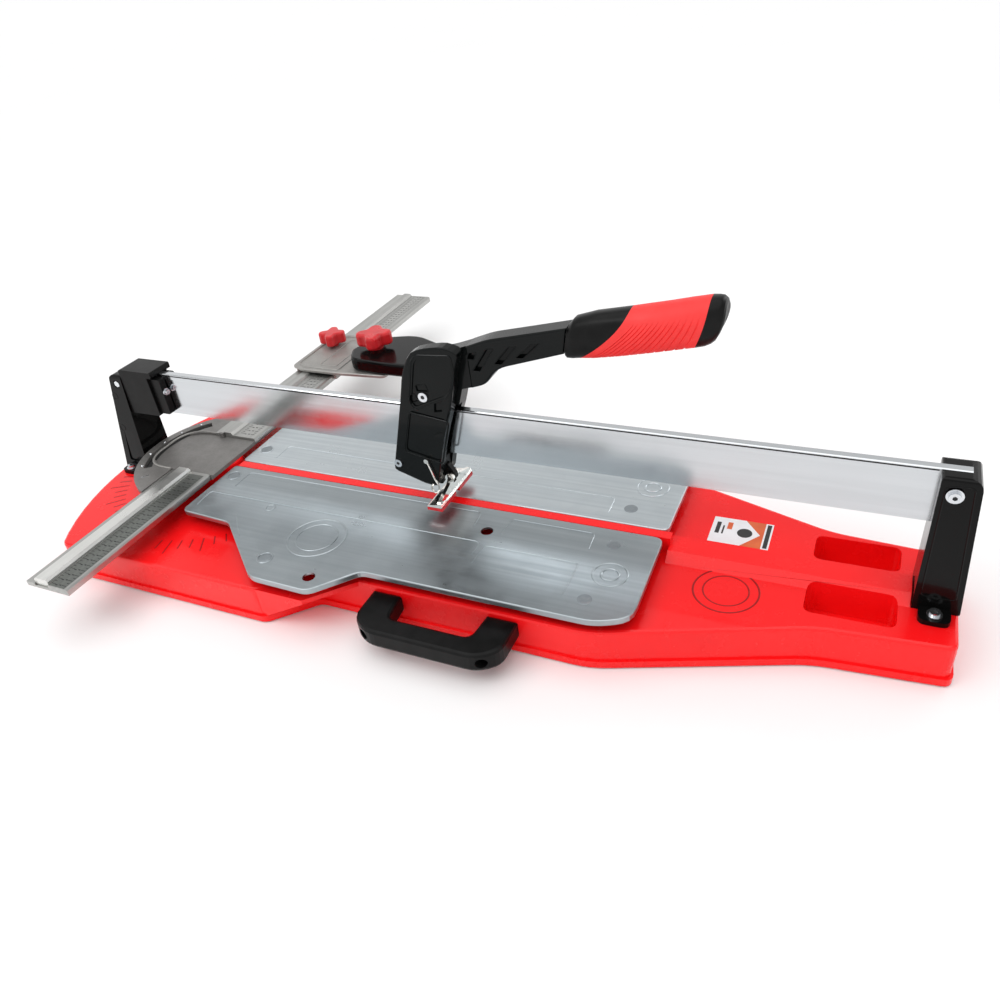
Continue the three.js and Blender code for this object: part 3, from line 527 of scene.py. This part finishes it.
def add_base_detail():
    """Angle marks, plain rings and a sticker without text on the base."""
    def marks(bm):
        for first, angles in MARK_RADII:
            for degrees in angles:
                length = SHORT_MARK if degrees % 15 else LONG_MARK
                strip(bm, polar(first, degrees), polar(first + length, degrees), 1.8, *THIN_LAYER)

    def rings(bm):
        for bead in BASE_BEADS:
            circle_ridge(bm, *BASE_RING, BASE_TOP, *bead)

    low, high, left, right = (LABEL[key] for key in ("low", "high", "left", "right"))
    middle = (low + high) / 2

    def label_white(bm):
        arrow = [
            (left, low), (ARROW_SHOULDER, low), (ARROW_TIP, middle), (ARROW_SHOULDER, high), (left, high),
        ]
        flat_shape(bm, arrow, *THIN_LAYER)
        box(bm, STRIP_LEFT, right, low, high, *THIN_LAYER)

    def label_orange(bm):
        field = [(ARROW_SHOULDER, low), (STRIP_LEFT, low), (STRIP_LEFT, high), (ARROW_SHOULDER, high),
                 (ARROW_TIP, middle)]
        flat_shape(bm, field, *THIN_LAYER)
        box(bm, left + 18, left + 24, high - 22, high - 8, *PRINT_LAYER)

    def label_dark(bm):
        box(bm, STRIP_LEFT + 2, right - 2, low + 2, high - 2, *PRINT_LAYER)
        box(bm, left + 5, left + 10, low + 18, high - 10, *PRINT_LAYER)
        box(bm, left + 13, left + 15, low + 18, high - 16, *PRINT_LAYER)
        circle = [polar(9, a, (left + 40, middle)) for a in range(0, 360, 15)]
        flat_shape(bm, circle, *PRINT_LAYER)

    # Angle marks and rings in dark red, which is painted shade.
    piece("base_scale_marks", "base", SHADED_ENGRAVING_RED, marks)
    piece("base_plain_rings", "base", SHADED_ENGRAVING_RED, rings)
    piece("label_white_part", "base", LABEL_WHITE, label_white)
    piece("label_orange_part", "base", LABEL_ORANGE, label_orange)
    piece("label_dark_part", "base", INK_AND_SHADE, label_dark)


# ---------------------------------------------------------------- ruler and protractor
TICK_STEP = 5
TICK_WIDTH = 0.9
TICK_HEIGHT = 0.12
LONG_TICK, SHORT_TICK = 7.0, 4.0
SLOT_FROM, SLOT_TO = 136, 215
SLOT_INNER, SLOT_OUTER = 99.5, 111.5
# Bottom and top of the dark sheet that paints the shade down in the protractor's slot.
SLOT_SHADE_LOW, SLOT_SHADE_HIGH = 77.5, 79.5
PIP_ANGLES = (211.3, 194.0, 177.0, 160.5, 144.0)
PIP_CIRCLE, PIP_RADIUS = 114.6, 1.9
POINTER = ((-25, -86), (-18, -77))
DISC_RIM = [(64, 52), (-53, 52), (-53, -52), (2, -52)]
# Left and right edge of the dark band, then its ends.
FRONT_BAND = (43.5, 70.5, -314, -58)
# Ends of each scale, then its left and right edge.
FRONT_SCALE = (-310, -60, 45, 69.5)
REAR_SCALES = ((60, 262, 44, 70), (414, 625, 44, 70))


def ticks(bm, y_from, y_to, x_left, x_right, z):
    """Two rows of ruler ticks with short bars where the figures would be."""
    top = z + TICK_HEIGHT
    middle = (x_left + x_right) / 2
    for k, y in enumerate(range(y_from, y_to, TICK_STEP)):
        reach = SHORT_TICK if k % 2 else LONG_TICK
        box(bm, x_left, x_left + reach, y, y + TICK_WIDTH, z, top)
        box(bm, x_right - reach, x_right, y, y + TICK_WIDTH, z, top)
        if k % 2 == 0:
            box(bm, middle - 5.0, middle - 1.5, y - 1.4, y + 0.2, z, top)
            box(bm, middle + 1.0, middle + 4.5, y - 0.6, y + 1.2, z, top)


def add_ruler_detail():
    """Scales of both rulers, the painted shade in the protractor's slot, and the pips and rim of the
    protractor.
    """
    def band(bm):
        box(bm, *FRONT_BAND, RULER_TOP - 0.2, RULER_TOP + 0.15)

    def front_ticks(bm):
        ticks(bm, *FRONT_SCALE, RULER_TOP + 0.1)

    def rear_ticks(bm):
        for scale in REAR_SCALES:
            ticks(bm, *scale, REAR_RULER_TOP - 0.02)

    # Dark sheet in the slot: painted shade.
    def slot_shade(bm):
        inner = [polar(SLOT_INNER, a) for a in range(SLOT_FROM + 1, SLOT_TO, 2)]
        outer = [polar(SLOT_OUTER, a) for a in range(SLOT_FROM + 1, SLOT_TO, 2)]
        skin(bm, [
            [at(*i, SLOT_SHADE_LOW), at(*o, SLOT_SHADE_LOW), at(*o, SLOT_SHADE_HIGH), at(*i, SLOT_SHADE_HIGH)]
            for i, o in zip(inner, outer)
        ])

    def pips(bm):
        for degrees in PIP_ANGLES:
            dome(bm, *polar(PIP_CIRCLE, degrees), DISC_TOP, PIP_RADIUS)
        strip(bm, *POINTER, 1.6, DISC_TOP - 0.1, DISC_TOP + 0.5)

    def rim(bm):
        edge = rounded(DISC_RIM, 42, closed=False, steps=14)
        path_ridge(bm, edge, on_top(DISC_TOP), 3.4, 1.4, closed=False)

    piece("front_scale_band", "protractor", SCALE_BAND, band)
    piece("front_scale_ticks", "protractor", INK_AND_SHADE, front_ticks)
    piece("rear_scale_ticks", "protractor", INK_AND_SHADE, rear_ticks)
    piece("protractor_slot_painted_shade", "protractor", INK_AND_SHADE, slot_shade)
    piece("protractor_pips", "protractor", ZINC, pips)
    piece("protractor_rim", "protractor", CAST_LIGHT, rim)


# ---------------------------------------------------------------- side stop
CARRIAGE_TOP = 96.0
OUTER_RIB = [(2, 280), (22, 271), (90, 271), (90, 392), (76, 400), (26, 400), (2, 370)]
INNER_RIB = [(44, 284), (78, 284), (78, 386), (44, 386)]
KNOB_COLLAR = (22, 363)
STOP_MARK = ((98, 271), (116, 271))


def add_stop_detail():
    """Cast ribs on the stop carriage."""
    def ribs(bm):
        path_ridge(bm, rounded(OUTER_RIB, 6), on_top(CARRIAGE_TOP), 3.2, 1.6)
        path_ridge(bm, rounded(INNER_RIB, 5), on_top(CARRIAGE_TOP), 2.2, 1.0)
        circle_ridge(bm, *KNOB_COLLAR, CARRIAGE_TOP - 0.2, 12.5, 3.0, 0.45, 36)
        strip(bm, *STOP_MARK, 2.0, CARRIAGE_TOP - 0.1, CARRIAGE_TOP + 0.15)

    piece("carriage_ribs", "stop_carriage", CAST_LIGHT, ribs)


# ---------------------------------------------------------------- grip
# Stations along the grip: top (x, z), bottom (x, z), half width and forward bow, in mm.
GRIP_STATIONS = {
    "shoulder": [
        ((626, 331), (620.5, 301), 11.0, 0.0), ((625.5, 337), (619.5, 298), 15.0, 0.0),
        ((631, 343), (620.5, 296.5), 17.0, 2.0), ((654, 350), (626, 296.5), 18.5, 6.0),
        ((692, 357), (633, 297.5), 19.0, 10.0),
    ],
    "sleeve": [
        ((692, 357), (633, 297.5), 19.0, 10.0), ((712, 361), (650, 299), 20.0, 9.0),
        ((732, 365), (680, 304), 20.5, 7.0), ((752, 369.5), (715, 311), 20.5, 5.0),
        ((772, 373.5), (757, 320), 20.0, 3.0),
    ],
    "cap": [
        ((772, 373.5), (757, 320), 20.0, 3.0), ((778, 373.8), (767, 322.5), 19.5, 3.0),
        ((782, 373.5), (773, 325.5), 18.5, 3.0), ((785.5, 371), (777, 329), 16.5, 3.0),
        ((787, 367), (779, 333), 13.5, 3.0), ((786, 361), (779.5, 338), 8.5, 3.0),
    ],
}
RING_POINTS = 40


def station_mix(a, b, t):
    """Station at share t of the way from a to b."""
    mix = [Vector(p) * (1 - t) + Vector(q) * t for p, q in ((a[0], b[0]), (a[1], b[1]))]
    return mix[0], mix[1], a[2] * (1 - t) + b[2] * t, a[3] * (1 - t) + b[3] * t


def grip_ring(station, shrink=None):
    """One slanted ring; shrink(v) pulls the skin in by that many mm at height share v."""
    top, bottom, half, bow = station
    ring = []
    for i in range(RING_POINTS):
        angle = 2 * math.pi * i / RING_POINTS
        side = math.copysign(abs(math.sin(angle)) ** 0.8, math.sin(angle))
        drop = (1 - math.copysign(abs(math.cos(angle)) ** 0.85, math.cos(angle))) / 2
        inward = shrink(drop) if shrink else 0.0
        middle = (top + bottom) / 2
        centre = top.lerp(bottom, drop)
        centre = centre + (middle - centre).normalized() * inward * abs(math.cos(angle))
        along = Vector((1.0, 0.2)) * bow * 4 * drop * (1 - drop)
        spot = centre + along
        ring.append(at(spot.x, side * (half - inward), spot.y))
    return ring


def fill_stations(stations, per_span):
    """Stations with extra ones mixed in between."""
    rows = []
    for a, b in zip(stations, stations[1:]):
        rows += [station_mix(a, b, k / per_span) for k in range(per_span)]
    rows.append(station_mix(stations[-1], stations[-1], 0.0))
    return rows


GROOVE_DEPTH = 0.9
GROOVE_START, GROOVE_FADE = 0.22, 0.15
ROWS_PER_SPAN = 24
ROWS_PER_GROOVE = 6
FIRST_GROOVE_ROW, LAST_PLAIN_ROWS = 12, 4


def groove_depth(share):
    """How deep a sleeve groove is at a share of the grip's height: none on top, most below."""
    return GROOVE_DEPTH * max(0.0, min(1.0, (share - GROOVE_START) / GROOVE_FADE))


def add_grip():
    """Round skins in place of the three plain grip nodes."""
    def shoulder(bm):
        skin(bm, [grip_ring(s) for s in fill_stations(GRIP_STATIONS["shoulder"], 4)])

    def sleeve(bm):
        rows = fill_stations(GRIP_STATIONS["sleeve"], ROWS_PER_SPAN)
        rings = []
        for i, station in enumerate(rows):
            in_reach = FIRST_GROOVE_ROW < i < len(rows) - LAST_PLAIN_ROWS
            grooved = in_reach and i % ROWS_PER_GROOVE == 0
            rings.append(grip_ring(station, groove_depth if grooved else None))
        skin(bm, rings)

    def cap(bm):
        skin(bm, [grip_ring(s) for s in fill_stations(GRIP_STATIONS["cap"], 3)])

    names = (("shoulder", "grip_core", BLACK_PLASTIC, "black_plastic", shoulder),
             ("sleeve", "grip_sleeve", GRIP_RED, "grip_rubber", sleeve),
             ("cap", "grip_end_cap", BLACK_PLASTIC, "black_plastic", cap))
    for name, node, material, slot_name, draw in names:
        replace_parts(piece("grip_" + name + "_skin", "lever", material, draw), node)


# ---------------------------------------------------------------- head and towers
UPPER_RIM = [
    (421.5, 230), (434, 285), (441, 293.5), (487, 296.5), (489, 276), (481, 252), (472, 240), (428, 220.5),
]
LOWER_RIM = [(418, 216), (472, 209), (454, 147.5), (401, 158)]
PANEL_FRONT = -24.4
COVER_POCKETS = [
    [(424, 228), (421, 238), (430, 242), (434, 233)], [(433, 253), (447, 256), (450, 246), (434, 245)],
    [(456, 233), (468, 236), (465, 222), (454, 220)],
]
# Lower and upper end of each slanted recess in the lever arm.
ARM_SLOTS = [
    ((506, 288), (510, 297)), ((512, 274), (532, 303)), ((540, 285), (560, 308)), ((567, 295), (588, 314)),
]
SLOT_REACH = 4.8
# Floor of each screw's socket that looks to the front, where a dark disc paints the socket's shade: x, y, z
# and radius.
HEAD_SOCKETS = [(442, -25.6, 239, 2.7), (389, -27.2, 139, 2.3)]
BASE_SOCKETS = [(1012, -26.1, 197, 2.4), (433, -190.5, 34, 2.3), (584, -190.5, 34, 2.3)]
FOOT_SCREWS = [(1018.5, -39), (1018.5, 39), (-102, -37)]
FOOT_SOCKET_FLOOR = 63.0
TOWER_FOOT_FRONT = -27.0
TOWER_LEAN = 6.0 / 160.0
RIGHT_PANEL = [(1003, 72), (1003, 205), (1028, 207), (1036, 72)]
LEFT_MARK_SPOTS = ((-94, 178), (-103, 124))
# Left and right end of the painted shadow line under the rail's head, then its lower and upper edge.
RAIL_SHADOW_ENDS = (3, 996)
RAIL_SHADOW_EDGES = (211.6, 213.2)


def slot_edge(low, high):
    """Corners of a slanted recess between its lower and upper end."""
    (x0, z0), (x1, z1) = low, high
    return [(x0 - SLOT_REACH, z0), (x1 - SLOT_REACH, z1), (x1 + SLOT_REACH, z1 + 1), (x0 + SLOT_REACH, z0)]


def add_head_detail():
    """Rims of the head's panels, pockets and recesses, and dark discs of painted shade in the screw sockets.
    """
    def rims(bm):
        path_ridge(bm, rounded(UPPER_RIM, 4), on_front(COVER_FRONT), 2.4, 1.0)
        path_ridge(bm, rounded(LOWER_RIM, 4), on_front(COVER_FRONT), 2.2, 0.9)
        for corners in COVER_POCKETS:
            path_ridge(bm, rounded(corners, 1.5), on_front(PANEL_FRONT), 1.4, 0.8)
        for low, high in ARM_SLOTS:
            path_ridge(bm, rounded(slot_edge(low, high), 2), on_front(ARM_FRONT), 1.4, 0.7)

    def socket_shades(bm):
        for socket in HEAD_SOCKETS:
            front_disc(bm, *socket)

    piece("head_panel_rims", "lever", HEAD_BLACK, rims)
    piece("head_socket_painted_shade", "lever", INK_AND_SHADE, socket_shades)


def tower_front(z):
    """Front face of either tower at height z."""
    return TOWER_FOOT_FRONT + TOWER_LEAN * (z - BASE_TOP)


def on_tower(x, z, lift):
    """Place for paths drawn in XZ on a tower's leaning front face."""
    return at(x, tower_front(z) - lift, z)


def add_tower_detail():
    """Rims and marks on the towers, the painted shadow line under the rail's head, and dark discs of painted
    shade in the screw sockets.
    """
    def panel_rim(bm):
        path_ridge(bm, rounded(RIGHT_PANEL, 5), on_tower, 1.8, 0.7)

    def eject_marks(bm):
        for x, z in LEFT_MARK_SPOTS:
            ring = [Vector(polar(5, a, (x, z))) for a in range(0, 360, 15)]
            path_ridge(bm, ring, on_tower, 1.2, 0.4)

    # Thin dark strip just under the rail's head: painted shadow.
    def rail_shadow(bm):
        box(bm, *RAIL_SHADOW_ENDS, RAIL_FRONT - 0.12, RAIL_FRONT + 0.1, *RAIL_SHADOW_EDGES)

    # Dark discs at the socket floors: painted shade.
    def socket_shades(bm):
        for socket in BASE_SOCKETS:
            front_disc(bm, *socket)
        for x, y in FOOT_SCREWS:
            disc(bm, x, y, FOOT_SOCKET_FLOOR, 2.3, 0.15, 18)

    # The line under the rail's head is painted shadow.
    piece("rail_painted_shadow_line", "base", BLACK_STEEL_AND_SHADE, rail_shadow)
    piece("base_socket_painted_shade", "base", INK_AND_SHADE, socket_shades)
    piece("right_tower_panel_rim", "base", BLACK_PAINT, panel_rim)
    piece("left_tower_marks", "base", BLACK_PAINT, eject_marks)


# ---------------------------------------------------------------- camera, light and floor
def add_camera():
    """Camera in front of the right end, looking down on the cutter."""
    data = bpy.data.cameras.new("camera")
    data.lens = CAMERA_LENS
    data.sensor_width = SENSOR
    camera = bpy.data.objects.new("camera", data)
    camera.location = at(*CAMERA_AT)
    camera.rotation_euler = Euler([math.radians(a) for a in CAMERA_TURN], "XYZ")
    bpy.context.scene.collection.objects.link(camera)
    bpy.context.scene.camera = camera


MODEL_MIDDLE = Vector((0.0, 0.0, 0.1))
OVERHEAD_ENERGY = 1.7
OVERHEAD_SPREAD = math.radians(80)
OVERHEAD_AIM = Vector((0.1, 0.15, -1.0))


def area_light(name, place, size, power):
    """Rectangular light in metres and watts, aimed at the middle of the model."""
    data = bpy.data.lights.new(name, "AREA")
    data.shape = "RECTANGLE"
    data.size, data.size_y = size
    data.energy = power
    light = bpy.data.objects.new(name, data)
    light.location = place
    light.rotation_euler = (MODEL_MIDDLE - light.location).to_track_quat("-Z", "Y").to_euler()
    bpy.context.scene.collection.objects.link(light)


SKY_LOW, SKY_HIGH = 0.30, 0.80  # sine of the heights between which the sky fades
SKY_BRIGHT, SKY_DIM = 1.0, 0.42
FLOOR_SIZE = 400.0


def add_sky():
    """White surroundings that fade to soft grey overhead."""
    world = bpy.data.worlds.new("studio")
    world.use_nodes = True
    tree = world.node_tree
    heading = tree.nodes.new("ShaderNodeTexCoord").outputs["Generated"]
    split = tree.nodes.new("ShaderNodeSeparateXYZ")
    fade = tree.nodes.new("ShaderNodeMapRange")
    fade.interpolation_type = "SMOOTHSTEP"
    fade.inputs["From Min"].default_value = SKY_LOW
    fade.inputs["From Max"].default_value = SKY_HIGH
    fade.inputs["To Min"].default_value = SKY_BRIGHT
    fade.inputs["To Max"].default_value = SKY_DIM
    tree.links.new(heading, split.inputs[0])
    tree.links.new(split.outputs["Z"], fade.inputs["Value"])
    background = tree.nodes["Background"]
    background.inputs["Color"].default_value = (1.0, 1.0, 1.0, 1.0)
    tree.links.new(fade.outputs["Result"], background.inputs["Strength"])
    bpy.context.scene.world = world


def add_overhead_light():
    """Very soft light from above, even over the whole floor."""
    data = bpy.data.lights.new("overhead", "SUN")
    data.energy = OVERHEAD_ENERGY
    data.angle = OVERHEAD_SPREAD
    light = bpy.data.objects.new("overhead", data)
    light.rotation_euler = OVERHEAD_AIM.to_track_quat("-Z", "Y").to_euler()
    bpy.context.scene.collection.objects.link(light)


def add_studio():
    """Sky, lights and a plain pale floor."""
    add_sky()
    bpy.context.scene.view_settings.view_transform = "Standard"
    add_overhead_light()
    area_light("front_strip", (-0.9, -1.3, 1.7), (1.2, 0.22), 6.0)
    area_light("rear_strip", (1.4, 1.8, 1.0), (1.0, 0.22), 5.0)
    bpy.ops.mesh.primitive_plane_add(size=FLOOR_SIZE, location=(0.0, 0.0, 0.0))
    floor = bpy.context.object
    floor.name = "floor"
    g = Graph("floor_white")
    g.drive("Base Color", g.blend(g.noise(1.5), (0.90, 0.90, 0.90), (0.88, 0.88, 0.88)))
    g.set(Roughness=0.8)
    floor.data.materials.append(g.material)


add_camera()
add_studio()
finish_nodes()
add_table_detail()
add_base_detail()
add_ruler_detail()
add_stop_detail()
add_grip()
add_head_detail()
add_tower_detail()
